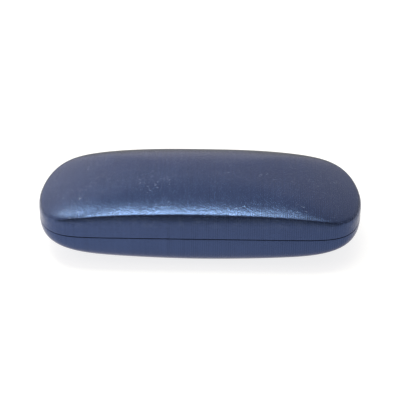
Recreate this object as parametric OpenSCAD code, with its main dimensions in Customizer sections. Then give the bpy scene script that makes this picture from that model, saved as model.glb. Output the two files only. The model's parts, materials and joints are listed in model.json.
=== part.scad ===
// Hard clamshell spectacle case: two pressed steel half shells covered in leatherette,
// lined with flocked moulded trays, and joined at the rear by a pinned hinge with snap springs.
// X runs along the case, the front faces -Y, and the origin is the centre of the flat under the base.

/* [Outline] */
// Overall length at the shoulder ridge
case_length = 160; // [150:1:170]
// Depth from the centre to the front of the ridge
front_depth = 30.9; // [29:0.1:33]
// Depth from the centre to the rear of the ridge
rear_depth = 31; // [29:0.1:33]
// How far the closing seam lies inside the ridge along the sides
side_flare = 0.8; // [0.4:0.1:1.2]
// How far the closing seam lies inside the ridge at the two ends
end_flare = 0.3; // [0.1:0.1:0.6]
// Squareness of the outline along its length
length_power = 11; // [8:0.5:12]
// Roundness of the ridge's two ends
ridge_end_power = 1.72; // [1.6:0.01:2.2]
// Roundness of the seam's two ends
seam_end_power = 2.15; // [1.8:0.01:2.4]

/* [Lid] */
// Height of the ridge above the seam at the middle of the front
ridge_front = 13.1; // [12:0.1:16]
// Height of the ridge above the seam at the middle of the rear
ridge_rear = 14.1; // [12:0.1:16]
// Height of the ridge above the seam at the two ends
ridge_tip = 5.4; // [4.5:0.1:6.5]
// Rise of the crown above the ridge
crown_rise = 6; // [4:0.5:8]
// How quickly the crown falls away near the ridge
crown_power = 2.6; // [2:0.1:3]
// Reach of the ridge's rounding onto the crown, along the front and rear
ridge_radius = 1.6; // [0.8:0.1:1.8]
// Reach of the ridge's rounding onto the crown, at the two ends
tip_radius = 2.4; // [1.2:0.1:2.6]
// Share of the wall's height that the ridge's rounding reaches down
wall_rounding = 0.46; // [0.2:0.01:0.6]

/* [Base] */
// Depth of the base's bowl below the seam, before its flat is taken off
bowl_depth = 18.6; // [17.5:0.1:20]
// Height of the seam above the flat the case rests on
seam_height = 17.4; // [16:0.1:17.4]
// How much shallower the bowl is at the two ends
bowl_end_rise = 5.8; // [5:0.1:7]
// Squareness of the bowl's section
bowl_power = 3.5; // [2.8:0.1:3.6]

/* [Wall] */
// Thickness of the leatherette cover
skin = 0.8; // [0.6:0.05:0.9]
// Thickness of the pressed steel shells
steel = 0.4; // [0.3:0.05:0.5]
// Thickness of the leatherette hem that is turned in at the rims
hem = 0.6; // [0.4:0.05:0.6]
// Gap between one layer of the wall and the next
layer_gap = 0.08; // [0.06:0.01:0.1]
// Half of the gap between the closed rims
rim_gap = 0.1; // [0.08:0.01:0.15]
// Thickness of the foam pads
pad = 2; // [1.5:0.1:2]
// Thickness of the moulded liners
liner = 0.7; // [0.5:0.05:0.8]
// Thickness of the flocked lining
lining = 0.4; // [0.3:0.05:0.4]

/* [Hinge] */
// Length of the hinge
hinge_length = 92; // [92:1:96]
// Outer radius of the hinge knuckles
knuckle_radius = 1.5; // [1.4:0.05:1.5]
// Radius of the hinge pin
pin_radius = 0.8; // [0.6:0.05:0.85]
// Radial clearance of the pin in the knuckles that turn on it
pin_clearance = 0.05; // [0.03:0.01:0.08]
// Distance from the hinge axis to the closed case's rear wall
axis_inset = 2.36; // [2.3:0.02:2.5]
// Angle that the lid opens to
open_angle = 105; // [95:1:106]
// Width of each snap spring
spring_width = 11; // [8:1:11]

/* [Hidden] */
$fn = 48;

columns = 60;
angles = [for (i = [0:columns - 1]) 360 * i / columns];
// Where the rings of the crown, the bowl and the pads lie
crown_steps = [0.3, 0.55, 0.75, 0.9];
bowl_shares = [0.45, 0.58, 0.7, 0.81, 0.9, 0.97, 0.995];
pad_steps = [0.3, 0.55, 0.75];
pad_shares = [0.9, 0.97, 0.995];

ridge_half = [case_length / 2, front_depth, rear_depth];
seam_half = [case_length / 2 - end_flare, front_depth - side_flare, rear_depth - side_flare];
ridge_powers = [length_power, ridge_end_power];
seam_powers = [length_power, seam_end_power];
// Powers of the arches that the ridge and the bowl's floor follow along the case
front_arch = 3.6;
rear_arch = 2.6;
bowl_arch = 1.82;

// Faces of the wall's layers, as insets from the sides, from the crown or floor, and from the rear
function face(inset) = [inset, inset, inset];
function deepen(layer, amount) = [for (inset = layer) inset + amount];
outside = [0, 0, 0];
skin_in = face(skin);
steel_out = face(skin + layer_gap);
steel_in = face(skin + layer_gap + steel);
hem_out = face(skin + 2 * layer_gap + steel);
hem_in = face(skin + 2 * layer_gap + steel + hem);
pad_gap = 0.26;
pad_outer = deepen(steel_in, pad_gap);
pad_inner = pad_outer + [0, pad, 0];
liner_inset = 3.2;
liner_drop = pad_inner[1] + 0.2;
// Room in front of the hinge axis that the liners leave free
hinge_channel = 3.6;
liner_rear = axis_inset + hinge_channel;
liner_out = [liner_inset, liner_drop, liner_rear];
liner_in = deepen(liner_out, liner);
lining_out = deepen(liner_in, layer_gap);
lining_in = deepen(lining_out, lining);

hem_depth = 5;
hem_depth_tip = 2.2;
hem_depth_hinge = 0.9;
// Distance from the middle at which the rims change to their shape behind the hinge, and how gently
hinge_end = 62;
hinge_fade = 10;
lip_level = 1.2;
lip_behind_hinge = 0.04;
lip_face = deepen(hem_in, 0.4);

axis_y = seam_half[2] - axis_inset;
slot_slope = tan(open_angle / 2) + 0.1;
slot_margin = 0.25;
knuckle_gap = 0.15;
half_hinge = hinge_length / 2;
// The spans along X in which each leaf holds its knuckles
base_spans = [[-half_hinge, -36], [-16, -8], [8, 16], [36, half_hinge]];
cam_spans = [[-28, -16], [16, 28]];
lid_spans = [[-36, -28], [-8, 8], [28, 36]];
// Each leaf leaves its knuckles, runs straight, bends outwards and is seated against the steel
leaf = 0.6;
leaf_offset = -0.25;
leaf_root = 2.9;
leaf_bend = 4.75;
leaf_seat = 5.3;
leaf_end = 7.8;
bend_ease = 0.15;
seat_ease = 0.08;
web_start = 1;
web_overlap = 0.1;
pin_fit = 0.01;
pin_end = 0.05;
pin_head = [1.3, 0.9, 0.5];
cam_flat = 1.9;
cam_radius = 2.55;
spring_gauge = 0.3;
spring_top = 0.7;
spring_bend = 4;
spring_x = 22;
spring_places = [-spring_x, spring_x];
base_rivets = [-41, 41];
lid_rivets = [-32, 0, 32];
rivet_radius = 0.7;
rivet_head = 1;
rivet_head_taper = 0.35;
rivet_head_height = 0.55;
rivet_height = 6.75;
leaf_hole_ease = 0.03;
steel_hole_ease = 0.06;
spine = 0.6;
spine_recess = 0.16;
// How far the strip's ends reach towards the place where the slot closes
spine_reach = 0.8;
gusset = 0.35;
gusset_length = hinge_length;
gusset_height = 5.2;
gusset_inset = 3.3;

function mix(a, b, t) = a + (b - a) * t;
function is_rear(u) = sin(u) > 0;
function clamp(v, low, high) = max(low, min(high, v));

// Half depth of an outline at a place along its length
function outline_y(x, half_x, half_y, powers) =
    half_y * pow(max(0, 1 - pow(abs(x) / half_x, powers[0])), 1 / powers[1]);

// Point of an outline, moved in by a layer's insets
function outline(u, half, powers, layer) =
    let (half_x = half[0] - layer[0])
    let (x = half_x * cos(u))
    is_rear(u)
        ? [x, outline_y(x, half_x, half[2] - layer[2], powers)]
        : [x, -outline_y(x, half_x, half[1] - layer[0], powers)];

function ridge_plan(u, layer) = outline(u, ridge_half, ridge_powers, layer);
function seam_plan(u, layer) = outline(u, seam_half, seam_powers, layer);

// Height of the arched ridge above the seam, blended from front to rear
function ridge_height(x, y) =
    let (along = abs(x) / ridge_half[0])
    let (front = ridge_front - (ridge_front - ridge_tip) * pow(along, front_arch))
    let (rear = ridge_rear - (ridge_rear - ridge_tip) * pow(along, rear_arch))
    mix(front, rear, clamp(0.5 + 0.5 * y / ridge_half[2], 0, 1));

// Point on a layer of the crown, where reach runs from 0 at its middle to 1 at the ridge
function crown_point(u, reach, layer) =
    let (edge = ridge_plan(u, layer))
    let (spot = edge * reach)
    let (share = min(1, reach * norm(edge) / norm(ridge_plan(u, outside))))
    let (rise = crown_rise * (1 - pow(share, crown_power)))
    [spot[0], spot[1], ridge_height(spot[0], spot[1]) + rise - layer[1]];

// Point on a layer of the lid's wall at a height above the seam
function lid_wall_point(u, height, layer) =
    let (corner = crown_point(u, 1, layer))
    let (spot = mix(seam_plan(u, layer), [corner[0], corner[1]], height / corner[2]))
    [spot[0], spot[1], height];

// Reach of the ridge's rounding at a layer
function shoulder_radius(u, layer) =
    max(0.5, mix(ridge_radius, tip_radius, pow(abs(cos(u)), 6)) - 0.5 * layer[0]);

// Rounded shoulder between wall and crown: a parabolic arc, where t is 0 on the wall and 1 on the crown
function shoulder_point(u, t, layer, rim) =
    let (r = shoulder_radius(u, layer))
    let (corner = crown_point(u, 1, layer))
    let (low = lid_wall_point(u, mix(corner[2], rim, wall_rounding), layer))
    let (high = crown_point(u, 1 - r / norm([corner[0], corner[1]]), layer))
    low * pow(1 - t, 2) + corner * 2 * t * (1 - t) + high * pow(t, 2);

// Depth of a layer of the bowl below the seam at a place along its length
function bowl_floor(x, layer) =
    bowl_depth - bowl_end_rise * pow(abs(x) / seam_half[0], bowl_arch) - layer[1];

// Point on a layer of the bowl, where share runs from 0 at the seam to 1 at its middle
function bowl_point(u, share, layer) =
    let (narrowing = pow(max(0, 1 - pow(share, bowl_power)), 1 / bowl_power))
    let (spot = seam_plan(u, layer) * narrowing)
    [spot[0], spot[1], max(-share * bowl_floor(spot[0], layer), layer[1] - seam_height)];

// Point on a layer of the bowl's wall at a drop below the seam
function bowl_wall_point(u, drop, layer) =
    let (share = drop / bowl_floor(seam_plan(u, layer)[0], layer))
    let (spot = bowl_point(u, share, layer))
    [spot[0], spot[1], -drop];

// The rear rims are cut back from the seam, so that the halves can turn past each other
function slot_height(y) = max(0, y - axis_y + slot_margin) * slot_slope;
function rim_cut(u) = rim_gap + slot_height(seam_plan(u, outside)[1]);

// Share of the hinge at a place on the rim: 1 behind the hinge, 0 at the front and ends
function hinge_share(u) =
    is_rear(u) ? clamp((hinge_end - abs(seam_plan(u, outside)[0])) / hinge_fade, 0, 1) : 0;
function hem_reach(u) =
    mix(mix(hem_depth, hem_depth_tip, pow(abs(cos(u)), 6)), hem_depth_hinge, hinge_share(u));

rims = [for (u = angles) rim_cut(u)];
hem_ends = [for (u = angles) rim_cut(u) + hem_reach(u)];
function level(height) = [for (u = angles) height];
function raise(heights, amount) = [for (height = heights) height + amount];
function lift(point) = [point[0], point[1], point[2] + seam_height];
function reversed(list) = [for (i = [len(list) - 1:-1:0]) list[i]];

// Rings of points, one point for each angle round the outline
function crown_ring(reach, layer) = [for (u = angles) lift(crown_point(u, reach, layer))];
function crown_middle(layer) = lift(crown_point(90, 0, layer));
function shoulder_ring(t, layer, heights) =
    [for (i = [0:columns - 1]) lift(shoulder_point(angles[i], t, layer, heights[i]))];
function lid_wall_ring(heights, layer) =
    [for (i = [0:columns - 1]) lift(lid_wall_point(angles[i], heights[i], layer))];
function lid_middle_ring(layer, heights) =
    let (tops = [for (i = [0:columns - 1]) shoulder_point(angles[i], 0, layer, heights[i])[2]])
    lid_wall_ring((heights + tops) / 2, layer);
function lid_rings(layer, heights) = concat(
    [for (reach = crown_steps) crown_ring(reach, layer)],
    [for (t = [1, 0.5, 0]) shoulder_ring(t, layer, heights)],
    [lid_middle_ring(layer, heights), lid_wall_ring(heights, layer)]);

function bowl_ring(share, layer) = [for (u = angles) lift(bowl_point(u, share, layer))];
function bowl_middle(layer) = lift([0, 0, layer[1] - seam_height]);
function bowl_wall_ring(drops, layer) =
    [for (i = [0:columns - 1]) lift(bowl_wall_point(angles[i], drops[i], layer))];
function bowl_rings(layer, drops) = concat(
    [bowl_wall_ring(drops, layer)],
    [for (share = bowl_shares) bowl_ring(share, layer)]);
// The cover and the steel share a ring where the hem ends, so that they stay parallel there
function bowl_shell_rings(layer, drops) =
    concat([bowl_wall_ring(drops, layer)], bowl_rings(layer, hem_ends));

// A moulded liner ends in a lip that reaches out to the hem, except behind the hinge channel
function lip_share(u) = max(lip_behind_hinge, 1 - hinge_share(u));
function lid_lip_ring(height) = [for (u = angles)
    lift(mix(lid_wall_point(u, height, liner_out), lid_wall_point(u, height, lip_face), lip_share(u)))];
function bowl_lip_ring(drop) = [for (u = angles)
    lift(mix(bowl_wall_point(u, drop, liner_out), bowl_wall_point(u, drop, lip_face), lip_share(u)))];

// Closed skin through rings of points, from its upper side to its lower side, with a fan at each end.
// Each four-sided patch is split along its shorter diagonal, so neighbouring layers split alike.
module loft(first, rings, last) {
    n = len(rings[0]);
    points = concat([first], [for (points = rings) each points], [last]);
    end = len(points) - 1;
    start_fan = [for (i = [0:n - 1]) [0, 1 + (i + 1) % n, 1 + i]];
    end_fan = [for (i = [0:n - 1]) [end, end - n + i, end - n + (i + 1) % n]];
    bands = [for (j = [0:len(rings) - 2], i = [0:n - 1])
        let (a = 1 + j * n + i)
        let (b = 1 + j * n + (i + 1) % n)
        each norm(points[a] - points[b + n]) < norm(points[b] - points[a + n])
            ? [[a, b, b + n], [a, b + n, a + n]]
            : [[a, b, a + n], [b, b + n, a + n]]];
    polyhedron(points, concat(start_fan, bands, end_fan), convexity = 8);
}

// Layers of the lid, from the outside in
module lid_cover() {
    color([0.25, 0.31, 0.48])
        loft(
            crown_middle(outside),
            concat(
                lid_rings(outside, rims),
                [lid_wall_ring(rims, hem_in), lid_wall_ring(hem_ends, hem_in)],
                [lid_wall_ring(hem_ends, hem_out), lid_wall_ring(raise(rims, skin), hem_out)],
                reversed(lid_rings(skin_in, raise(rims, skin)))),
            crown_middle(skin_in));
}

module lid_shell() {
    edges = raise(rims, skin + layer_gap);
    color([0.55, 0.56, 0.58])
        drilled_for(lid_rivets, 1)
            loft(
                crown_middle(steel_out),
                concat(lid_rings(steel_out, edges), reversed(lid_rings(steel_in, edges))),
                crown_middle(steel_in));
}

module lid_pad() {
    color([0.85, 0.85, 0.8])
        loft(
            crown_middle(pad_outer),
            concat(
                [for (reach = pad_steps) crown_ring(reach, pad_outer)],
                [for (reach = reversed(pad_steps)) crown_ring(reach, pad_inner)]),
            crown_middle(pad_inner));
}

module lid_liner() {
    color([0.12, 0.12, 0.13])
        loft(
            crown_middle(liner_out),
            concat(
                lid_rings(liner_out, level(lip_level + liner)),
                [lid_lip_ring(lip_level + liner), lid_lip_ring(lip_level)],
                reversed(lid_rings(liner_in, level(lip_level)))),
            crown_middle(liner_in));
}

module lid_lining() {
    edges = level(lip_level);
    color([0.2, 0.2, 0.22])
        loft(
            crown_middle(lining_out),
            concat(lid_rings(lining_out, edges), reversed(lid_rings(lining_in, edges))),
            crown_middle(lining_in));
}

// Layers of the base, from the outside in
module base_cover() {
    color([0.25, 0.31, 0.48])
        loft(
            bowl_middle(skin_in),
            concat(
                reversed(bowl_shell_rings(skin_in, raise(rims, skin))),
                [bowl_wall_ring(raise(rims, skin), hem_out), bowl_wall_ring(hem_ends, hem_out)],
                [bowl_wall_ring(hem_ends, hem_in), bowl_wall_ring(rims, hem_in)],
                bowl_shell_rings(outside, rims)),
            bowl_middle(outside));
}

module base_shell() {
    edges = raise(rims, skin + layer_gap);
    color([0.55, 0.56, 0.58])
        drilled_for(concat(base_rivets, spring_places), -1)
            loft(
                bowl_middle(steel_in),
                concat(
                    reversed(bowl_shell_rings(steel_in, edges)),
                    bowl_shell_rings(steel_out, edges)),
                bowl_middle(steel_out));
}

module base_pad() {
    color([0.85, 0.85, 0.8])
        loft(
            bowl_middle(pad_inner),
            concat(
                [for (share = reversed(pad_shares)) bowl_ring(share, pad_inner)],
                [for (share = pad_shares) bowl_ring(share, pad_outer)]),
            bowl_middle(pad_outer));
}

module base_liner() {
    color([0.12, 0.12, 0.13])
        loft(
            bowl_middle(liner_in),
            concat(
                reversed(bowl_rings(liner_in, level(lip_level))),
                [bowl_lip_ring(lip_level), bowl_lip_ring(lip_level + liner)],
                bowl_rings(liner_out, level(lip_level + liner))),
            bowl_middle(liner_out));
}

module base_lining() {
    edges = level(lip_level);
    color([0.2, 0.2, 0.22])
        loft(
            bowl_middle(lining_in),
            concat(reversed(bowl_rings(lining_in, edges)), bowl_rings(lining_out, edges)),
            bowl_middle(lining_out));
}

// Hinge parts are drawn about the hinge axis, where side is 1 for the lid and -1 for the base
module at_hinge() {
    translate([0, axis_y, seam_height])
        children();
}

// Section drawn with Y across and Z up, extruded along X
module along_x(from, to) {
    translate([from, 0, 0])
        rotate([90, 0, 90])
            linear_extrude(to - from)
                children();
}

// Point of the steel's inner face on the rear wall, as [y, z] from the hinge axis
function steel_face(x, side, height) =
    let (u = acos(x / (seam_half[0] - steel_in[0])))
    let (point = side > 0 ? lid_wall_point(u, height, steel_in) : bowl_wall_point(u, height, steel_in))
    [point[1] - axis_y, point[2]];

// The leaves are straight, so they are seated where the wall bows in most, at the hinge's ends
function seat_slope(side) =
    let (upper = steel_face(half_hinge, side, leaf_seat))
    let (lower = steel_face(half_hinge, side, leaf_end))
    (upper[0] - lower[0]) / (upper[1] - lower[1]);
// Point at a height, a distance in from the line of the seat
function seat(side, height, inward) =
    let (edge = steel_face(half_hinge, side, leaf_seat))
    [edge[0] - seat_ease + (side * height - edge[1]) * seat_slope(side) - inward, side * height];

module leaf_plate(side) {
    outer = layer_gap;
    inner = layer_gap + leaf;
    along_x(-half_hinge, half_hinge)
        polygon([
            [leaf_offset + leaf / 2, side * leaf_root],
            [leaf_offset + leaf / 2, side * leaf_bend],
            seat(side, leaf_seat, outer),
            seat(side, leaf_end, outer),
            seat(side, leaf_end, inner),
            seat(side, leaf_seat - bend_ease, inner),
            [leaf_offset - leaf / 2, side * (leaf_bend + bend_ease)],
            [leaf_offset - leaf / 2, side * leaf_root]]);
}

// Knuckle with the web that joins it to its leaf
module knuckle(from, to, side) {
    web = leaf_root + web_overlap;
    along_x(from + knuckle_gap, to - knuckle_gap) {
        circle(knuckle_radius);
        translate([leaf_offset - leaf / 2, side > 0 ? web_start : -web])
            square([leaf, web - web_start]);
    }
}

// Lobe with two flats, one facing the snap spring when closed and one when open
module cam(from, to) {
    corner = cam_flat / cos(open_angle / 2);
    intersection() {
        along_x(from + knuckle_gap, to - knuckle_gap)
            polygon([
                [0, 0],
                [-cam_flat, 0],
                [-corner * cos(open_angle / 2), -corner * sin(open_angle / 2)],
                [-cam_flat * cos(open_angle), -cam_flat * sin(open_angle)]]);
        along_x(from, to)
            circle(cam_radius);
    }
}

module pin_bore(radius) {
    along_x(-half_hinge - 1, half_hinge + 1)
        circle(radius);
}

// Frame of a rivet: its origin on the line of the seat, +Z pointing into the case
module at_rivet(x, side) {
    place = seat(side, rivet_height, 0);
    translate([x, place[0], place[1]])
        rotate([90 - atan(seat_slope(side)), 0, 0])
            children();
}

module drilled_for(places, side) {
    difference() {
        children();
        for (x = places)
            at_hinge()
                at_rivet(x, side)
                    cylinder(r = rivet_radius + steel_hole_ease, h = 4, center = true, $fn = 24);
    }
}

// A rivet's tail ends inside the steel, which stands off from the seat towards the hinge's middle
module rivets(places, side, grip) {
    for (x = places) {
        stand_off = steel_face(x, side, rivet_height)[0] - seat(side, rivet_height, 0)[0];
        at_rivet(x, side) {
            translate([0, 0, -stand_off - steel / 2])
                cylinder(r = rivet_radius, h = stand_off + steel / 2 + grip + rivet_head_height / 2);
            translate([0, 0, grip])
                cylinder(r1 = rivet_head, r2 = rivet_head - rivet_head_taper, h = rivet_head_height);
        }
    }
}

module leaf_holes(places, side) {
    for (x = places)
        at_rivet(x, side)
            cylinder(r = rivet_radius + leaf_hole_ease, h = 5, center = true);
}

module base_hinge_leaf() {
    color([0.72, 0.73, 0.75])
        at_hinge()
            difference() {
                union() {
                    leaf_plate(-1);
                    for (span = base_spans)
                        knuckle(span[0], span[1], -1);
                }
                pin_bore(pin_radius + pin_fit);
                leaf_holes(concat(base_rivets, spring_places), -1);
            }
}

module lid_hinge_leaf() {
    color([0.72, 0.73, 0.75])
        at_hinge()
            difference() {
                union() {
                    leaf_plate(1);
                    for (span = concat(lid_spans, cam_spans))
                        knuckle(span[0], span[1], 1);
                    for (span = cam_spans)
                        cam(span[0], span[1]);
                }
                pin_bore(pin_radius + pin_clearance);
                leaf_holes(lid_rivets, 1);
            }
}

// Headed at both ends, and held by the base's knuckles
module hinge_pin() {
    color([0.8, 0.8, 0.82])
        at_hinge() {
            along_x(-half_hinge - 2 * pin_end, half_hinge + 2 * pin_end)
                circle(pin_radius);
            for (side = [-1, 1])
                translate([side * (half_hinge + pin_end), 0, 0])
                    rotate([0, side * 90, 0])
                        cylinder(r1 = pin_head[0], r2 = pin_head[1], h = pin_head[2]);
        }
}

module base_hinge_rivets() {
    color([0.75, 0.68, 0.5])
        at_hinge()
            rivets(base_rivets, -1, leaf + 2 * layer_gap);
}

module lid_hinge_rivets() {
    color([0.75, 0.68, 0.5])
        at_hinge()
            rivets(lid_rivets, 1, leaf + 2 * layer_gap);
}

module snap_spring_rivets() {
    color([0.75, 0.68, 0.5])
        at_hinge()
            rivets(spring_places, -1, leaf + spring_gauge + 3 * layer_gap);
}

// Flat spring strip, riveted at its foot and pressing on the cam above
module snap_spring(x) {
    foot = 2 * layer_gap + leaf;
    front = -cam_flat - layer_gap;
    at_hinge()
        difference() {
            along_x(x - spring_width / 2, x + spring_width / 2)
                polygon([
                    seat(-1, leaf_end, foot),
                    seat(-1, leaf_seat + seat_ease, foot),
                    [front, -spring_bend],
                    [front, spring_top],
                    [front - spring_gauge, spring_top],
                    [front - spring_gauge, -spring_bend - seat_ease],
                    seat(-1, leaf_seat + bend_ease + seat_ease, foot + spring_gauge),
                    seat(-1, leaf_end, foot + spring_gauge)]);
            leaf_holes([x], -1);
        }
}

module snap_spring_left() {
    color([0.3, 0.33, 0.4])
        snap_spring(-spring_x);
}

module snap_spring_right() {
    color([0.3, 0.33, 0.4])
        snap_spring(spring_x);
}

// Place on the slot's edge, as [x at the strip's inner face, y of the wall, height above the seam]
function slot_edge(u) =
    let (y = seam_plan(u, outside)[1])
    [seam_plan(u, face(spine_recess + spine))[0], y, is_rear(u) ? slot_height(y) : 0];

// Leatherette strip that closes the slot behind the hinge, glued to both halves
module spine_strip() {
    open = [for (u = angles) if (slot_edge(u)[2] > 0) u];
    step = 360 / columns;
    last = open[len(open) - 1];
    edge = concat(
        [mix(slot_edge(open[0]), slot_edge(open[0] - step), spine_reach)],
        [for (u = open) slot_edge(u)],
        [mix(slot_edge(last), slot_edge(last + step), spine_reach)]);
    outer = [for (spot = edge) [spot[0], spot[1] - spine_recess]];
    inner = [for (spot = reversed(edge)) [spot[0], spot[1] - spine_recess - spine]];
    upper = [for (spot = edge) [spot[0], spot[2]]];
    lower = [for (spot = reversed(edge)) [spot[0], -spot[2]]];
    color([0.23, 0.28, 0.44])
        translate([0, 0, seam_height])
            intersection() {
                translate([0, 0, -seam_height / 2])
                    linear_extrude(seam_height)
                        polygon(concat(outer, inner));
                rotate([90, 0, 0])
                    translate([0, 0, -rear_depth])
                        linear_extrude(rear_depth)
                            polygon(concat(upper, lower));
            }
}

// Lining fabric that joins the two liners in front of the hinge
module hinge_gusset() {
    color([0.18, 0.18, 0.2])
        at_hinge()
            translate([-gusset_length / 2, -gusset_inset, -gusset_height / 2])
                cube([gusset_length, gusset, gusset_height]);
}

base_cover();
base_shell();
base_pad();
base_liner();
base_lining();
base_hinge_leaf();
base_hinge_rivets();
snap_spring_left();
snap_spring_right();
snap_spring_rivets();
hinge_pin();
spine_strip();
hinge_gusset();
lid_cover();
lid_shell();
lid_pad();
lid_liner();
lid_lining();
lid_hinge_leaf();
lid_hinge_rivets();
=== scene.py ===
import json
import math

import bpy
import numpy as np
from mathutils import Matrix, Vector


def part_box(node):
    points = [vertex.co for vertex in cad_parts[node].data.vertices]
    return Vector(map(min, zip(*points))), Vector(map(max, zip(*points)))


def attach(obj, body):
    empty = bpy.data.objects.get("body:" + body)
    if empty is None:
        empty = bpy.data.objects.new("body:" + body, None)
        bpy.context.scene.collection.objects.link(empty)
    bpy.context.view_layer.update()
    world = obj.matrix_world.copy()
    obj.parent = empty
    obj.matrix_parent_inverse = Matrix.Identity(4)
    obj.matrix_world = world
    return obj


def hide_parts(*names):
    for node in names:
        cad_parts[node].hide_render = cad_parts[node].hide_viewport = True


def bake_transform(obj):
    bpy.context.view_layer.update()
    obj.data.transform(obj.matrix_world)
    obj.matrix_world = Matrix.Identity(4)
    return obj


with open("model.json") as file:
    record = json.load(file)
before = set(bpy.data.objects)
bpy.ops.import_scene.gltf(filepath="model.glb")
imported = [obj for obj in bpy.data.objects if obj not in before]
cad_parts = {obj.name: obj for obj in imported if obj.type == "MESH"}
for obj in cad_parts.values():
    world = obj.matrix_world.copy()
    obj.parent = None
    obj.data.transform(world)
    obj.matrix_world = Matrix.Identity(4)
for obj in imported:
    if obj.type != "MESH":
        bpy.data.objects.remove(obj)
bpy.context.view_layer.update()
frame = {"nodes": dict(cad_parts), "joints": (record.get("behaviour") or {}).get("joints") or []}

# ---------------------------------------------------------------- dimensions, in metres
MM = 0.001
JOINT = frame["joints"][0]
AXIS_Y, SEAM_Z = JOINT["pos_m"][1], JOINT["pos_m"][2]

# Half sizes along X, to the front and to the rear
RIDGE_HALF = (80 * MM, 30.9 * MM, 31 * MM)
SEAM_HALF = (79.7 * MM, 30.1 * MM, 30.2 * MM)
RIDGE_POWERS = (11, 1.72)
SEAM_POWERS = (11, 2.15)
RIDGE_FRONT, RIDGE_REAR, RIDGE_TIP = 13.1 * MM, 14.1 * MM, 5.4 * MM
FRONT_ARCH, REAR_ARCH, BOWL_ARCH = 3.6, 2.6, 1.82
CROWN_RISE, CROWN_POWER = 6 * MM, 2.6
RIDGE_RADIUS, TIP_RADIUS = 1.6 * MM, 2.4 * MM
WALL_ROUNDING = 0.46
BOWL_DEPTH, BOWL_END_RISE, BOWL_POWER = 18.6 * MM, 5.8 * MM, 3.5

# Thicknesses and gaps of the layers
SKIN, STEEL, HEM, GAP = 0.8 * MM, 0.4 * MM, 0.6 * MM, 0.08 * MM
PAD, PAD_GAP = 2 * MM, 0.26 * MM
LINER, LINER_GAP, LINING = 0.7 * MM, 0.2 * MM, 0.4 * MM
LINER_FROM_SIDE, LINER_FROM_HINGE = 3.2 * MM, 3.6 * MM
LIP_LEVEL, LIP_GAP = 1.2 * MM, 0.4 * MM
RIM_GAP = 0.1 * MM
RIM_ROUNDING = 0.24 * MM
HEM_DEPTH, HEM_DEPTH_TIP, HEM_DEPTH_HINGE = 5 * MM, 2.2 * MM, 0.9 * MM
HEM_CHAMFER = 0.12 * MM
HINGE_HALF, HINGE_FADE = 62 * MM, 10 * MM
SPINE_HALF, SPINE_THICKNESS = 68 * MM, 0.6 * MM
SPINE_INSET, SPINE_OVERLAP = 0.16 * MM, 0.02 * MM
SLOT_MARGIN = 0.25 * MM
SLOT_SLOPE = math.tan(math.radians(JOINT["range_deg"][1]) / 2) + 0.1


def face(inset):
    """A layer's face, as insets from the sides, from the crown or floor, and from the rear."""
    return np.array([inset, inset, inset])


OUTSIDE = face(0)
SKIN_IN = face(SKIN)
STEEL_OUT = face(SKIN + GAP)
STEEL_IN = face(SKIN + GAP + STEEL)
HEM_OUT = face(SKIN + 2 * GAP + STEEL)
HEM_IN = face(SKIN + 2 * GAP + STEEL + HEM)
PAD_OUTER = STEEL_IN + PAD_GAP
PAD_INNER = PAD_OUTER + np.array([0, PAD, 0])
LINER_REAR = SEAM_HALF[2] - AXIS_Y + LINER_FROM_HINGE
LINER_OUT = np.array([LINER_FROM_SIDE, PAD_INNER[1] + LINER_GAP, LINER_REAR])
LINER_IN = LINER_OUT + LINER
LINING_OUT = LINER_IN + GAP
LINING_IN = LINING_OUT + LINING
LIP_FACE = HEM_IN + LIP_GAP


# ---------------------------------------------------------------- surfaces of the case
def outline(u, half, powers, layer):
    across = np.clip(1 - np.abs(np.cos(u)) ** powers[0], 0, 1) ** (1 / powers[1])
    rear = (half[2] - layer[2]) * across
    front = -(half[1] - layer[0]) * across
    return np.c_[(half[0] - layer[0]) * np.cos(u), np.where(np.sin(u) > 0, rear, front)]


def ridge_plan(u, layer):
    return outline(u, RIDGE_HALF, RIDGE_POWERS, layer)


def seam_plan(u, layer):
    return outline(u, SEAM_HALF, SEAM_POWERS, layer)


def ridge_height(x, y):
    along = np.abs(x) / RIDGE_HALF[0]
    front = RIDGE_FRONT - (RIDGE_FRONT - RIDGE_TIP) * along**FRONT_ARCH
    rear = RIDGE_REAR - (RIDGE_REAR - RIDGE_TIP) * along**REAR_ARCH
    to_rear = np.clip(0.5 + 0.5 * y / RIDGE_HALF[2], 0, 1)
    return front + (rear - front) * to_rear


def crown(u, reach, layer):
    """Points on the crown, where reach runs from 0 at its middle to 1 at the ridge."""
    edge = ridge_plan(u, layer)
    reach = np.broadcast_to(reach, u.shape)
    spot = edge * reach[:, None]
    full = np.linalg.norm(ridge_plan(u, OUTSIDE), axis=1)
    share = np.clip(reach * np.linalg.norm(edge, axis=1) / full, 0, 1)
    rise = CROWN_RISE * (1 - share**CROWN_POWER)
    return np.c_[spot, ridge_height(spot[:, 0], spot[:, 1]) + rise - layer[1]]


def lid_wall(u, height, layer):
    """Points on the lid's wall, at a height above the seam."""
    corner = crown(u, 1.0, layer)
    foot = seam_plan(u, layer)
    height = np.broadcast_to(height, u.shape)
    spot = foot + (corner[:, :2] - foot) * (height / corner[:, 2])[:, None]
    return np.c_[spot, height]


def shoulder(u, t, layer, rim):
    """Rounded ridge, where t runs from 0 on the wall to 1 on the crown."""
    corner = crown(u, 1.0, layer)
    full = RIDGE_RADIUS + (TIP_RADIUS - RIDGE_RADIUS) * np.abs(np.cos(u)) ** 6
    r = np.maximum(0.5 * MM, full - 0.5 * layer[0])
    low = lid_wall(u, corner[:, 2] - WALL_ROUNDING * (corner[:, 2] - rim), layer)
    high = crown(u, 1 - r / np.linalg.norm(corner[:, :2], axis=1), layer)
    return low * (1 - t) ** 2 + corner * 2 * t * (1 - t) + high * t**2


def bowl_floor(x, layer):
    return BOWL_DEPTH - BOWL_END_RISE * (np.abs(x) / SEAM_HALF[0]) ** BOWL_ARCH - layer[1]


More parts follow.
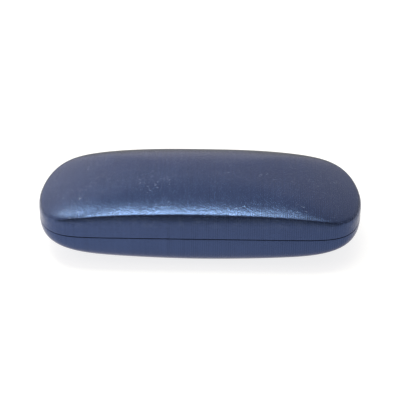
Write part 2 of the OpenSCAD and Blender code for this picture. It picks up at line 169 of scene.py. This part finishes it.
def bowl(u, share, layer):
    """Points on the bowl, where share runs from 0 at the seam to 1 at its middle."""
    share = np.broadcast_to(share, u.shape)
    narrowing = np.clip(1 - share**BOWL_POWER, 0, 1) ** (1 / BOWL_POWER)
    spot = seam_plan(u, layer) * narrowing[:, None]
    return np.c_[spot, np.maximum(-share * bowl_floor(spot[:, 0], layer), layer[1] - SEAM_Z)]


def bowl_wall(u, drop, layer):
    """Points on the bowl, at a depth below the seam."""
    drop = np.broadcast_to(drop, u.shape)
    point = bowl(u, drop / bowl_floor(seam_plan(u, layer)[:, 0], layer), layer)
    return np.c_[point[:, :2], -drop]


def slot_height(y):
    """How far a rim is cut back from the seam, so that the halves clear each other behind the hinge."""
    return np.maximum(0, y - AXIS_Y + SLOT_MARGIN) * SLOT_SLOPE


def rim_cut(u):
    """Height of the lid's rim above the seam: it is cut back behind the hinge."""
    return RIM_GAP + slot_height(seam_plan(u, OUTSIDE)[:, 1])


def hinge_share(u):
    """1 along the hinge at the rear, fading to 0 past its ends and round the rest of the rim."""
    share = np.clip((HINGE_HALF - np.abs(seam_plan(u, OUTSIDE)[:, 0])) / HINGE_FADE, 0, 1)
    return np.where(np.sin(u) > 0, share, 0)


def hem_reach(u):
    """Depth of the turned-in hem below the rim."""
    reach = HEM_DEPTH + (HEM_DEPTH_TIP - HEM_DEPTH) * np.abs(np.cos(u)) ** 6
    return reach + (HEM_DEPTH_HINGE - reach) * hinge_share(u)


# ---------------------------------------------------------------- meshes
def new_piece(name, points, faces, wear):
    """Smooth mesh object, with the wear at each of its points as an attribute for its material."""
    mesh = bpy.data.meshes.new(name)
    mesh.from_pydata([tuple(p) for p in points], [], faces)
    mesh.polygons.foreach_set("use_smooth", [True] * len(mesh.polygons))
    attribute = mesh.attributes.new("wear", "FLOAT", "POINT")
    attribute.data.foreach_set("value", np.asarray(wear, np.float32))
    piece = bpy.data.objects.new(name, mesh)
    bpy.context.scene.collection.objects.link(piece)
    return piece


def loft(name, first, rings, last):
    """Closed skin from its upper side to its lower side, through rings of points, each with its wear."""
    outlines, wears = [ring for ring, _ in rings], [wear for _, wear in rings]
    n = len(outlines[0])
    points = np.vstack([[first], *outlines, [last]]) + np.array([0, 0, SEAM_Z])
    end = len(points) - 1
    faces = [(0, 1 + i, 1 + (i + 1) % n) for i in range(n)]
    for a in range(1, end - n, n):
        faces += [(a + (i + 1) % n, a + i, a + n + i, a + n + (i + 1) % n) for i in range(n)]
    faces += [(end, end - n + (i + 1) % n, end - n + i) for i in range(n)]
    return new_piece(name, points, faces, np.r_[wears[0], np.repeat(wears, n), wears[-1]])


def turns(n):
    return np.linspace(0, 2 * math.pi, n, endpoint=False)


def eased(n, low, high):
    """n values from low to high, closer together towards high."""
    return low + (high - low) * np.sin(np.linspace(0, math.pi / 2, n))


def lid_face(u, layer, rim, crowns=14, bends=5, walls=4):
    """Rings of one face of the lid, from the crown down to the rim, each with its wear."""
    top = 1 - RIDGE_RADIUS / RIDGE_HALF[1]
    rings = [(crown(u, reach, layer), 0) for reach in eased(crowns, 0.03, top - 0.012)]
    for t in np.linspace(1, 0, bends):
        wear = math.sin(math.pi * (0.15 + 0.7 * t))
        rings.append((shoulder(u, t, layer, rim), wear))
    low = shoulder(u, 0, layer, rim)[:, 2]
    rings += [(lid_wall(u, low + (rim - low) * f, layer), 0) for f in np.linspace(0, 1, walls + 1)[1:]]
    return rings


def bowl_face(u, layer, drop, walls=18):
    """Rings of one face of the base, from its rim down to its floor."""
    start = drop / bowl_floor(seam_plan(u, layer)[:, 0], layer)
    shares = np.sin(np.linspace(0, math.pi / 2, walls + 1)[1:-1]) ** 0.8
    rings = [(bowl_wall(u, drop, layer), 0)]
    rings += [(bowl(u, start + (1 - start) * share, layer), 0) for share in shares]
    return rings


def crown_middle(layer):
    return crown(np.array([math.pi / 2]), 0.0, layer)[0]


def bowl_middle(layer):
    return np.array([0, 0, layer[1] - SEAM_Z])


def rim_section(inner):
    """Two rounded corners of a turned rim, as insets from the outside and heights above the rim."""
    r = RIM_ROUNDING
    quarter = [math.radians(a) for a in (15, 40, 65, 90)]
    outer_corner = [(r * (1 - math.cos(a)), r * (1 - math.sin(a))) for a in quarter]
    inner_corner = [(inner - r + r * math.sin(a), r * (1 - math.cos(a))) for a in quarter]
    return outer_corner + inner_corner


def cover_rim(u, wall, rim):
    """Rings round a cover's turned rim, down the hem and back up to the skin's inner face."""
    rings = [(wall(u, rim + up, face(inset)), 0.8) for inset, up in rim_section(HEM_IN[0])]
    hem_end = rim + hem_reach(u)
    rings += [(wall(u, rim + (hem_end - rim) * f, HEM_IN), 0) for f in (0.3, 0.6, 0.95)]
    rings.append((wall(u, hem_end, face(HEM_IN[0] - HEM_CHAMFER)), 0))
    rings.append((wall(u, hem_end, HEM_OUT), 0))
    rings.append((wall(u, rim + SKIN, HEM_OUT), 0))
    return rings


def lid_cover(u):
    rim = rim_cut(u)
    rings = lid_face(u, OUTSIDE, rim + RIM_ROUNDING, crowns=30, bends=13, walls=7)
    rings += cover_rim(u, lid_wall, rim)
    rings += lid_face(u, SKIN_IN, rim + SKIN, walls=3)[::-1]
    return loft("lid_skin", crown_middle(OUTSIDE), rings, crown_middle(SKIN_IN))


def base_cover(u):
    rim = rim_cut(u)
    rings = bowl_face(u, SKIN_IN, rim + SKIN, walls=14)[::-1]
    rings += cover_rim(u, bowl_wall, rim)[::-1]
    rings += bowl_face(u, OUTSIDE, rim + RIM_ROUNDING, walls=30)
    return loft("base_skin", bowl_middle(SKIN_IN), rings, bowl_middle(OUTSIDE))


def lid_layer(name, u, outer, inner, rim):
    rings = lid_face(u, outer, rim) + lid_face(u, inner, rim)[::-1]
    return loft(name, crown_middle(outer), rings, crown_middle(inner))


def base_layer(name, u, outer, inner, rim):
    rings = bowl_face(u, inner, rim)[::-1] + bowl_face(u, outer, rim)
    return loft(name, bowl_middle(inner), rings, bowl_middle(outer))


def lid_pad(u):
    reaches = (0.1, 0.25, 0.4, 0.55, 0.68, 0.75)
    rings = [(crown(u, reach, PAD_OUTER), 0) for reach in reaches]
    rings += [(crown(u, reach, PAD_INNER), 0) for reach in reaches[::-1]]
    return loft("lid_foam", crown_middle(PAD_OUTER), rings, crown_middle(PAD_INNER))


def base_pad(u):
    shares = (0.9, 0.94, 0.97, 0.99, 0.999)
    rings = [(bowl(u, share, PAD_INNER), 0) for share in shares[::-1]]
    rings += [(bowl(u, share, PAD_OUTER), 0) for share in shares]
    return loft("base_foam", bowl_middle(PAD_INNER), rings, bowl_middle(PAD_OUTER))


def lip(u, wall, height):
    """Edge of a liner's lip: it reaches out to the hem, except over the hinge channel."""
    share = np.maximum(0.04, 1 - hinge_share(u))[:, None]
    return wall(u, height, LINER_OUT) * (1 - share) + wall(u, height, LIP_FACE) * share


def lip_rings(u, wall):
    """Rings round a liner's lip, from its side on the foam to its side on the flock."""
    top = LIP_LEVEL + LINER
    rings = [(lip(u, wall, height), 0) for height in (top, top - 0.2 * MM, LIP_LEVEL + 0.15 * MM)]
    rings.append((lip(u, wall, LIP_LEVEL) * 0.98 + wall(u, LIP_LEVEL, LINER_IN) * 0.02, 0))
    return rings


def lid_liner(u):
    rings = lid_face(u, LINER_OUT, np.full(u.shape, LIP_LEVEL + LINER))
    rings += lip_rings(u, lid_wall)
    rings += lid_face(u, LINER_IN, np.full(u.shape, LIP_LEVEL))[::-1]
    return loft("lid_tray", crown_middle(LINER_OUT), rings, crown_middle(LINER_IN))


def base_liner(u):
    rings = bowl_face(u, LINER_IN, np.full(u.shape, LIP_LEVEL))[::-1]
    rings += lip_rings(u, bowl_wall)[::-1]
    rings += bowl_face(u, LINER_OUT, np.full(u.shape, LIP_LEVEL + LINER))
    return loft("base_tray", bowl_middle(LINER_IN), rings, bowl_middle(LINER_OUT))


# ---------------------------------------------------------------- materials
DEEP_NAVY, PALE_NAVY = (0.043, 0.067, 0.149), (0.054, 0.083, 0.182)
WORN_NAVY, SCRATCHED_NAVY = (0.12, 0.16, 0.26), (0.26, 0.31, 0.42)
RIB_PITCH = 1.05 * MM
FLOOR_GLOW_ON_CASE, FLOOR_GLOW_SEEN = 0.89, 0.80
FLOOR_TINT = (1.0, 0.95, 0.97)
# Sockets of a Mix node that is set to colours
MIX_FACTOR, MIX_A, MIX_B, MIX_COLOUR = 0, 6, 7, 2


class Nodes:
    """Short calls for a material's node tree. The texture space is the piece's own frame, in metres."""

    def __init__(self, name):
        self.material = bpy.data.materials.new(name)
        self.material.use_nodes = True
        self.tree = self.material.node_tree
        self.shader = self.tree.nodes["Principled BSDF"]
        self.place = self.tree.nodes.new("ShaderNodeTexCoord").outputs["Object"]

    def node(self, kind, **inputs):
        """A new node, with its inputs given by name and _ for each space."""
        made = self.tree.nodes.new(kind)
        for key, value in inputs.items():
            self.set(made.inputs[key.replace("_", " ")], value)
        return made

    def set(self, socket, value):
        if isinstance(value, bpy.types.NodeSocket):
            self.tree.links.new(value, socket)
        elif socket.type == "RGBA":
            socket.default_value = (*value, 1.0)
        else:
            socket.default_value = value

    def math(self, operation, a, b=0.0, clamp=False):
        made = self.tree.nodes.new("ShaderNodeMath")
        made.operation, made.use_clamp = operation, clamp
        self.set(made.inputs[0], a)
        self.set(made.inputs[1], b)
        return made.outputs[0]

    def stretched(self, scale):
        return self.node("ShaderNodeMapping", Vector=self.place, Scale=scale).outputs[0]

    def noise(self, scale, detail=2.0, roughness=0.5):
        """Noise from 0 to 1. scale is features per metre, along X, Y and Z."""
        if not isinstance(scale, tuple):
            scale = (scale, scale, scale)
        made = self.node("ShaderNodeTexNoise", Vector=self.stretched(scale), Scale=1.0, Detail=detail)
        made.inputs["Roughness"].default_value = roughness
        return made.outputs["Fac"]

    def ramp(self, value, low, high, out_low=0.0, out_high=1.0):
        """value spread evenly from low..high to out_low..out_high, and held at the ends."""
        return self.node("ShaderNodeMapRange", Value=value, From_Min=low, From_Max=high,
                         To_Min=out_low, To_Max=out_high).outputs[0]

    def blend(self, share, a, b):
        """Colour a where share is 0, and b where it is 1."""
        made = self.tree.nodes.new("ShaderNodeMix")
        made.data_type = "RGBA"
        self.set(made.inputs[MIX_FACTOR], share)
        self.set(made.inputs[MIX_A], a)
        self.set(made.inputs[MIX_B], b)
        return made.outputs[MIX_COLOUR]

    def axis(self, vector, name):
        return self.node("ShaderNodeSeparateXYZ", Vector=vector).outputs[name]

    def attribute(self, name):
        made = self.tree.nodes.new("ShaderNodeAttribute")
        made.attribute_name = name
        return made.outputs["Fac"]

    def bump(self, height, depth, under=None):
        made = self.node("ShaderNodeBump", Height=height, Distance=depth)
        if under is not None:
            self.set(made.inputs["Normal"], under)
        return made.outputs[0]

    def finish(self, **inputs):
        """Sets the shader's inputs, and returns the material."""
        for key, value in inputs.items():
            self.set(self.shader.inputs[key.replace("_", " ")], value)
        return self.material


def scratches(m, turn, shift):
    """Sparse fine streaks that run at an angle over the crown."""
    turned = m.node("ShaderNodeMapping", Vector=m.place, Rotation=(0, 0, math.radians(turn)),
                    Location=(shift, -shift, 0))
    scaled = m.node("ShaderNodeMapping", Vector=turned.outputs[0], Scale=(2400, 420, 200))
    streaks = m.node("ShaderNodeTexNoise", Vector=scaled.outputs[0], Scale=1.0, Detail=1.0)
    return m.ramp(streaks.outputs["Fac"], 0.70, 0.75)


def leatherette_ribs(m):
    """Fine upright ribs, from -1 to 1, in patches that are stronger on the right of the case."""
    along = m.axis(m.place, "X")
    ribs = m.math("SINE", m.math("MULTIPLY", along, 2 * math.pi / RIB_PITCH))
    ribs = m.math("MULTIPLY", ribs, m.ramp(m.noise((14, 5, 5)), 0.42, 0.58))
    return m.math("MULTIPLY", ribs, m.ramp(along, -30 * MM, 40 * MM, 0.7, 1.6))


def leatherette_marks(m):
    """Scratches in a few scuffed places, on faces that look up."""
    normal = m.tree.nodes.new("ShaderNodeNewGeometry").outputs["Normal"]
    facing_up = m.ramp(m.axis(normal, "Z"), 0.6, 0.8)
    scuffed = m.math("MULTIPLY", m.ramp(m.noise(75), 0.50, 0.64), facing_up)
    marks = m.math("MAXIMUM", scratches(m, 38, 0.31), scratches(m, -62, 0.77))
    return m.math("MULTIPLY", marks, scuffed, clamp=True)


def leatherette_material():
    m = Nodes("leatherette")
    lines = m.noise((1100, 24, 24), 2.0, 0.55)
    hairlines = m.noise((3600, 60, 60), 2.0, 0.6)
    grain = m.noise(1500, 3.0, 0.65)
    dimples = m.noise(820, 2.0, 0.6)
    pits = m.noise(1900, 1.0)
    waves = m.noise(150, 1.0)
    cloud = m.noise(45, 3.0)
    ribs = leatherette_ribs(m)
    marks = leatherette_marks(m)
    rubbed = m.ramp(m.noise(300, 4.0, 0.7), 0.45, 0.7)
    worn = m.math("MULTIPLY", m.attribute("wear"), rubbed, clamp=True)

    tone = m.math("ADD", m.math("MULTIPLY", lines, 0.5), m.math("MULTIPLY", cloud, 0.5))
    tone = m.math("ADD", tone, m.math("MULTIPLY", ribs, 0.16))
    colour = m.blend(m.ramp(tone, 0.36, 0.64), DEEP_NAVY, PALE_NAVY)
    colour = m.blend(m.math("MULTIPLY", worn, 0.35), colour, WORN_NAVY)
    colour = m.blend(m.math("MULTIPLY", marks, 0.85), colour, SCRATCHED_NAVY)
    mottled = m.ramp(cloud, 0.3, 0.7, 0.155, 0.195)
    roughness = m.math("ADD", mottled, m.math("MULTIPLY", hairlines, 0.05))
    surface = None
    for height, depth in (
        (waves, 0.030), (lines, 0.008), (hairlines, 0.003), (grain, 0.010),
        (m.ramp(dimples, 0.25, 0.6), 0.042), (m.ramp(pits, 0.58, 0.68), 0.055),
        (ribs, 0.008), (marks, 0.030),
    ):
        surface = m.bump(height, depth * MM, surface)
    return m.finish(Base_Color=colour, Metallic=0.92, Roughness=roughness, Normal=surface)


def flock_material(name, colour, sheen):
    m = Nodes(name)
    nap = m.noise((110, 60, 110), 3.0, 0.6)
    fibres = m.noise(4200, 2.0, 0.7)
    tufts = m.noise(1300, 2.0, 0.6)
    strokes = m.math("ADD", m.math("MULTIPLY", nap, 0.45), m.math("MULTIPLY", tufts, 0.35))
    strokes = m.math("ADD", strokes, m.math("MULTIPLY", fibres, 0.2))
    dark, light = tuple(0.55 * c for c in colour), tuple(1.6 * c for c in colour)
    mixed = m.blend(m.ramp(strokes, 0.38, 0.62), dark, light)
    surface = m.bump(fibres, 0.05 * MM)
    surface = m.bump(tufts, 0.09 * MM, surface)
    surface = m.bump(nap, 0.12 * MM, surface)
    m.finish(Base_Color=mixed, Roughness=0.95, Normal=surface)
    return m.finish(Sheen_Weight=sheen, Sheen_Roughness=0.4, Specular_IOR_Level=0.2)


def plastic_material():
    m = Nodes("moulded_plastic")
    skin = m.noise(1800)
    colour = m.blend(m.noise(60), (0.014, 0.015, 0.018), (0.024, 0.025, 0.029))
    roughness = m.ramp(skin, 0.3, 0.7, 0.42, 0.6)
    return m.finish(Base_Color=colour, Roughness=roughness, Normal=m.bump(skin, 0.01 * MM))


def foam_material():
    m = Nodes("foam")
    cells = m.node("ShaderNodeTexVoronoi", Vector=m.stretched((1400, 1400, 1400)), Scale=1.0)
    depth = cells.outputs["Distance"]
    # Darker towards each cell's middle, where the bump makes a pit: painted shade in the foam's pores
    colour = m.blend(m.ramp(depth, 0.1, 0.6), (0.45, 0.44, 0.40), (0.72, 0.71, 0.66))
    return m.finish(Base_Color=colour, Roughness=0.9, Normal=m.bump(depth, 0.15 * MM))


def metal_material(name, colour, roughness):
    m = Nodes(name)
    drawn = m.noise((400, 400, 6000), 3.0, 0.7)
    dull = tuple(0.7 * c for c in colour)
    mixed = m.blend(m.ramp(m.noise(220, 3.0), 0.35, 0.7), colour, dull)
    rough = m.ramp(drawn, 0.3, 0.7, roughness * 0.8, roughness * 1.3)
    surface = m.bump(drawn, 0.004 * MM)
    return m.finish(Base_Color=mixed, Metallic=1.0, Roughness=rough, Normal=surface)


def floor_material():
    """Pale floor that glows like a light table, so that it hardly takes a shadow.

    The light it sends to the case comes only from the strip around it, and fades to the right."""
    m = Nodes("studio_floor")
    away = m.math("ABSOLUTE", m.axis(m.place, "Y"))
    strip_light = m.ramp(away, 58 * MM, 98 * MM, FLOOR_GLOW_ON_CASE, 0.0)
    fade = m.ramp(m.axis(m.place, "X"), -90 * MM, 90 * MM, 1.0, 0.68)
    seen = m.tree.nodes.new("ShaderNodeLightPath").outputs["Is Camera Ray"]
    glow = m.ramp(seen, 0, 1, m.math("MULTIPLY", strip_light, fade), FLOOR_GLOW_SEEN)
    tint = m.blend(seen, FLOOR_TINT, (1.0, 1.0, 1.0))
    m.finish(Emission_Color=tint, Emission_Strength=glow)
    return m.finish(Base_Color=(0.34, 0.34, 0.343), Roughness=0.7, Specular_IOR_Level=0.1)


# ---------------------------------------------------------------- the pieces
leatherette = leatherette_material()
flock = flock_material("flock", (0.030, 0.032, 0.040), 0.35)
gusset_cloth = flock_material("gusset_cloth", (0.024, 0.026, 0.034), 0.2)
plastic = plastic_material()
foam = foam_material()
shell_steel = metal_material("shell_steel", (0.45, 0.46, 0.48), 0.4)
zinc = metal_material("zinc_plate", (0.62, 0.63, 0.65), 0.3)
blued = metal_material("blued_spring_steel", (0.16, 0.19, 0.28), 0.28)
brass = metal_material("rivet_brass", (0.72, 0.56, 0.28), 0.3)

SLOT_MATERIALS = {
    "leatherette": leatherette,
    "shell_steel": shell_steel,
    "foam": foam,
    "liner_plastic": plastic,
    "flock": flock,
    "gusset_fabric": gusset_cloth,
}


def stands_for(piece, node, slot):
    """The piece takes the CAD node's place and the slot's material."""
    piece.data.materials.append(SLOT_MATERIALS[slot])
    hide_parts(node)


FINE, MIDDLE, COARSE = turns(360), turns(240), turns(120)
shell_rim = rim_cut(COARSE) + SKIN + GAP
lining_rim = np.full(MIDDLE.shape, LIP_LEVEL)
for body, layer, cover, pad, liner in (
    ("lid", lid_layer, lid_cover, lid_pad, lid_liner),
    ("base", base_layer, base_cover, base_pad, base_liner),
):
    for piece, node, slot in (
        (cover(FINE), "cover", "leatherette"),
        (layer(body + "_steel", COARSE, STEEL_OUT, STEEL_IN, shell_rim), "shell", "shell_steel"),
        (pad(COARSE), "pad", "foam"),
        (liner(MIDDLE), "liner", "liner_plastic"),
        (layer(body + "_flock", MIDDLE, LINING_OUT, LINING_IN, lining_rim), "lining", "flock"),
    ):
        stands_for(piece, body + "_" + node, slot)
        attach(piece, body)


def strip(name, xs, outer_y, half_height, thickness, steps):
    """Upright strip along X, with rounded upper and lower edges. outer_y and half_height are per x."""
    turn = np.linspace(0, math.pi, 7)[1:-1]
    heights = np.linspace(-1, 1, steps)
    half = thickness / 2
    points = []
    for x, y, tall in zip(xs, outer_y, half_height):
        r = min(half, tall * 0.9)
        body = max(tall - r, 0)
        section = [(y, body * h) for h in heights]
        section += [(y - half + half * math.cos(a), body + r * math.sin(a)) for a in turn]
        section += [(y - thickness, body * h) for h in heights[::-1]]
        section += [(y - half - half * math.cos(a), -body - r * math.sin(a)) for a in turn]
        points += [(x, py, pz + SEAM_Z) for py, pz in section]
    n = len(section)
    faces = []
    for j in range(0, len(points) - n, n):
        for i in range(n):
            k = (i + 1) % n
            faces.append((j + i, j + k, j + n + k, j + n + i))
    faces.append(tuple(range(n))[::-1])
    faces.append(tuple(range(len(points) - n, len(points))))
    return new_piece(name, points, faces, np.zeros(len(points)))


def spine():
    xs = np.linspace(-SPINE_HALF, SPINE_HALF, 181)
    along = np.abs(xs) / SEAM_HALF[0]
    across = np.clip(1 - along ** SEAM_POWERS[0], 0, 1) ** (1 / SEAM_POWERS[1])
    wall = SEAM_HALF[2] * across
    tall = slot_height(wall) + SPINE_OVERLAP
    return strip("spine_strip_leather", xs, wall - SPINE_INSET, tall, SPINE_THICKNESS, 15)


def gusset():
    low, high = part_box("hinge_gusset")
    count = 121
    rear, half_height = np.full(count, high.y), np.full(count, (high.z - low.z) / 2)
    xs = np.linspace(low.x, high.x, count)
    return strip("hinge_gusset_cloth", xs, rear, half_height, high.y - low.y, 21)


# Each soft strip, with a reach of this much height to either side of the hinge's axis
for piece, node, slot, reach in (
    (spine(), "spine_strip", "leatherette", 3.2 * MM),
    (gusset(), "hinge_gusset", "gusset_fabric", 1.0 * MM),
):
    stands_for(piece, node, slot)
    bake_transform(piece)

for node, material in (
    ("base_hinge_leaf", zinc), ("lid_hinge_leaf", zinc), ("hinge_pin", zinc),
    ("base_hinge_rivets", brass), ("lid_hinge_rivets", brass), ("snap_spring_rivets", brass),
    ("snap_spring_left", blued), ("snap_spring_right", blued),
):
    mesh = frame["nodes"][node].data
    mesh.materials.clear()
    mesh.materials.append(material)

# ---------------------------------------------------------------- studio
TENT = 0.72
TENT_COLOUR = (1.0, 0.93, 0.94)
TENT_FALL_TO_RIGHT = 0.5
REAR_GLOW = 0.34
FRONT_SHADE = 0.66
SOFTBOX_HEIGHT = 0.9
SOFTBOX_COLOUR = (0.97, 1.0, 0.77)
# Name, place along X and Y, width, depth, turn in degrees, and watts per square metre
SOFTBOXES = (
    ("overhead_softbox", -0.12, 0.034, 0.46, 0.118, 0, 50),
    ("overhead_diffuser", -0.28, 0.13, 0.42, 0.28, 0, 4),
    ("left_softbox", -0.62, 0.62, 1.10, 0.13, 124, 23),
    ("right_softbox", 0.26, 0.13, 0.34, 0.08, 35, 14),
)
# Lens in millimetres, distance in metres, angles in degrees
CAMERA_LENS, CAMERA_DISTANCE = 134.9, 0.746
CAMERA_ELEVATION, CAMERA_AZIMUTH = 33.15, 1.43


def light_tent():
    """Pale surroundings, dim in front and fading to the right. The camera itself sees plain white."""
    world = bpy.data.worlds.new("light_tent")
    bpy.context.scene.world = world
    world.use_nodes = True
    tree = world.node_tree
    coords = tree.nodes.new("ShaderNodeTexCoord")
    split = tree.nodes.new("ShaderNodeSeparateXYZ")
    tree.links.new(coords.outputs["Generated"], split.inputs[0])
    # Axis of the direction, curve, its start and end on that axis, and the brightness at both
    shares = (
        ("Y", "SMOOTHSTEP", (-0.32, -0.66), (1, 1 - FRONT_SHADE)),
        ("Y", "SMOOTHSTEP", (0.4, 1.0), (1, 1 + REAR_GLOW)),
        ("X", "LINEAR", (-1, 1), (1 + TENT_FALL_TO_RIGHT, 1 - TENT_FALL_TO_RIGHT)),
    )
    tent = tree.nodes.new("ShaderNodeValue").outputs[0]
    tent.default_value = TENT
    for axis, curve, (start, end), (at_start, at_end) in shares:
        ramp = tree.nodes.new("ShaderNodeMapRange")
        ramp.interpolation_type = curve
        ramp.inputs["From Min"].default_value = start
        ramp.inputs["From Max"].default_value = end
        ramp.inputs["To Min"].default_value = at_start
        ramp.inputs["To Max"].default_value = at_end
        tree.links.new(split.outputs[axis], ramp.inputs["Value"])
        product = tree.nodes.new("ShaderNodeMath")
        product.operation = "MULTIPLY"
        tree.links.new(tent, product.inputs[0])
        tree.links.new(ramp.outputs[0], product.inputs[1])
        tent = product.outputs[0]
    tinted = tree.nodes.new("ShaderNodeVectorMath")
    tinted.operation = "SCALE"
    tinted.inputs[0].default_value = TENT_COLOUR
    tree.links.new(tent, tinted.inputs["Scale"])
    seen = tree.nodes.new("ShaderNodeMix")
    seen.data_type = "RGBA"
    tree.links.new(tinted.outputs[0], seen.inputs[MIX_A])
    seen.inputs[MIX_B].default_value = (1, 1, 1, 1)
    path = tree.nodes.new("ShaderNodeLightPath")
    tree.links.new(path.outputs["Is Camera Ray"], seen.inputs[MIX_FACTOR])
    tree.links.new(seen.outputs[MIX_COLOUR], tree.nodes["Background"].inputs["Color"])


def softbox(name, x, y, width, depth, turn, watts_per_square_metre):
    lamp = bpy.data.lights.new(name, "AREA")
    lamp.shape, lamp.size, lamp.size_y = "RECTANGLE", width, depth
    lamp.energy = watts_per_square_metre * width * depth
    lamp.color = SOFTBOX_COLOUR
    light = bpy.data.objects.new(name, lamp)
    light.location = (x, y, SOFTBOX_HEIGHT)
    light.rotation_euler.z = math.radians(turn)
    bpy.context.scene.collection.objects.link(light)


def studio_floor():
    bpy.ops.mesh.primitive_plane_add(size=6, location=(0, 0, -0.2 * MM))
    floor = bpy.context.object
    floor.name = "studio_floor"
    floor.data.materials.append(floor_material())


def camera():
    """Camera that looks from its azimuth and elevation at a point on the case's vertical axis."""
    data = bpy.data.cameras.new("camera")
    data.sensor_width, data.lens = 36, CAMERA_LENS
    made = bpy.data.objects.new("camera", data)
    elevation, azimuth = math.radians(CAMERA_ELEVATION), math.radians(CAMERA_AZIMUTH)
    level = math.cos(elevation)
    back = np.array([math.sin(azimuth) * level, -math.cos(azimuth) * level, math.sin(elevation)])
    made.location = back * CAMERA_DISTANCE + np.array([0, 0, SEAM_Z + 3 * MM])
    made.rotation_euler = (math.pi / 2 - elevation, 0, azimuth)
    bpy.context.scene.collection.objects.link(made)
    bpy.context.scene.camera = made
    bpy.context.scene.view_settings.view_transform = "Standard"


studio_floor()
light_tent()
for softbox_values in SOFTBOXES:
    softbox(*softbox_values)
camera()
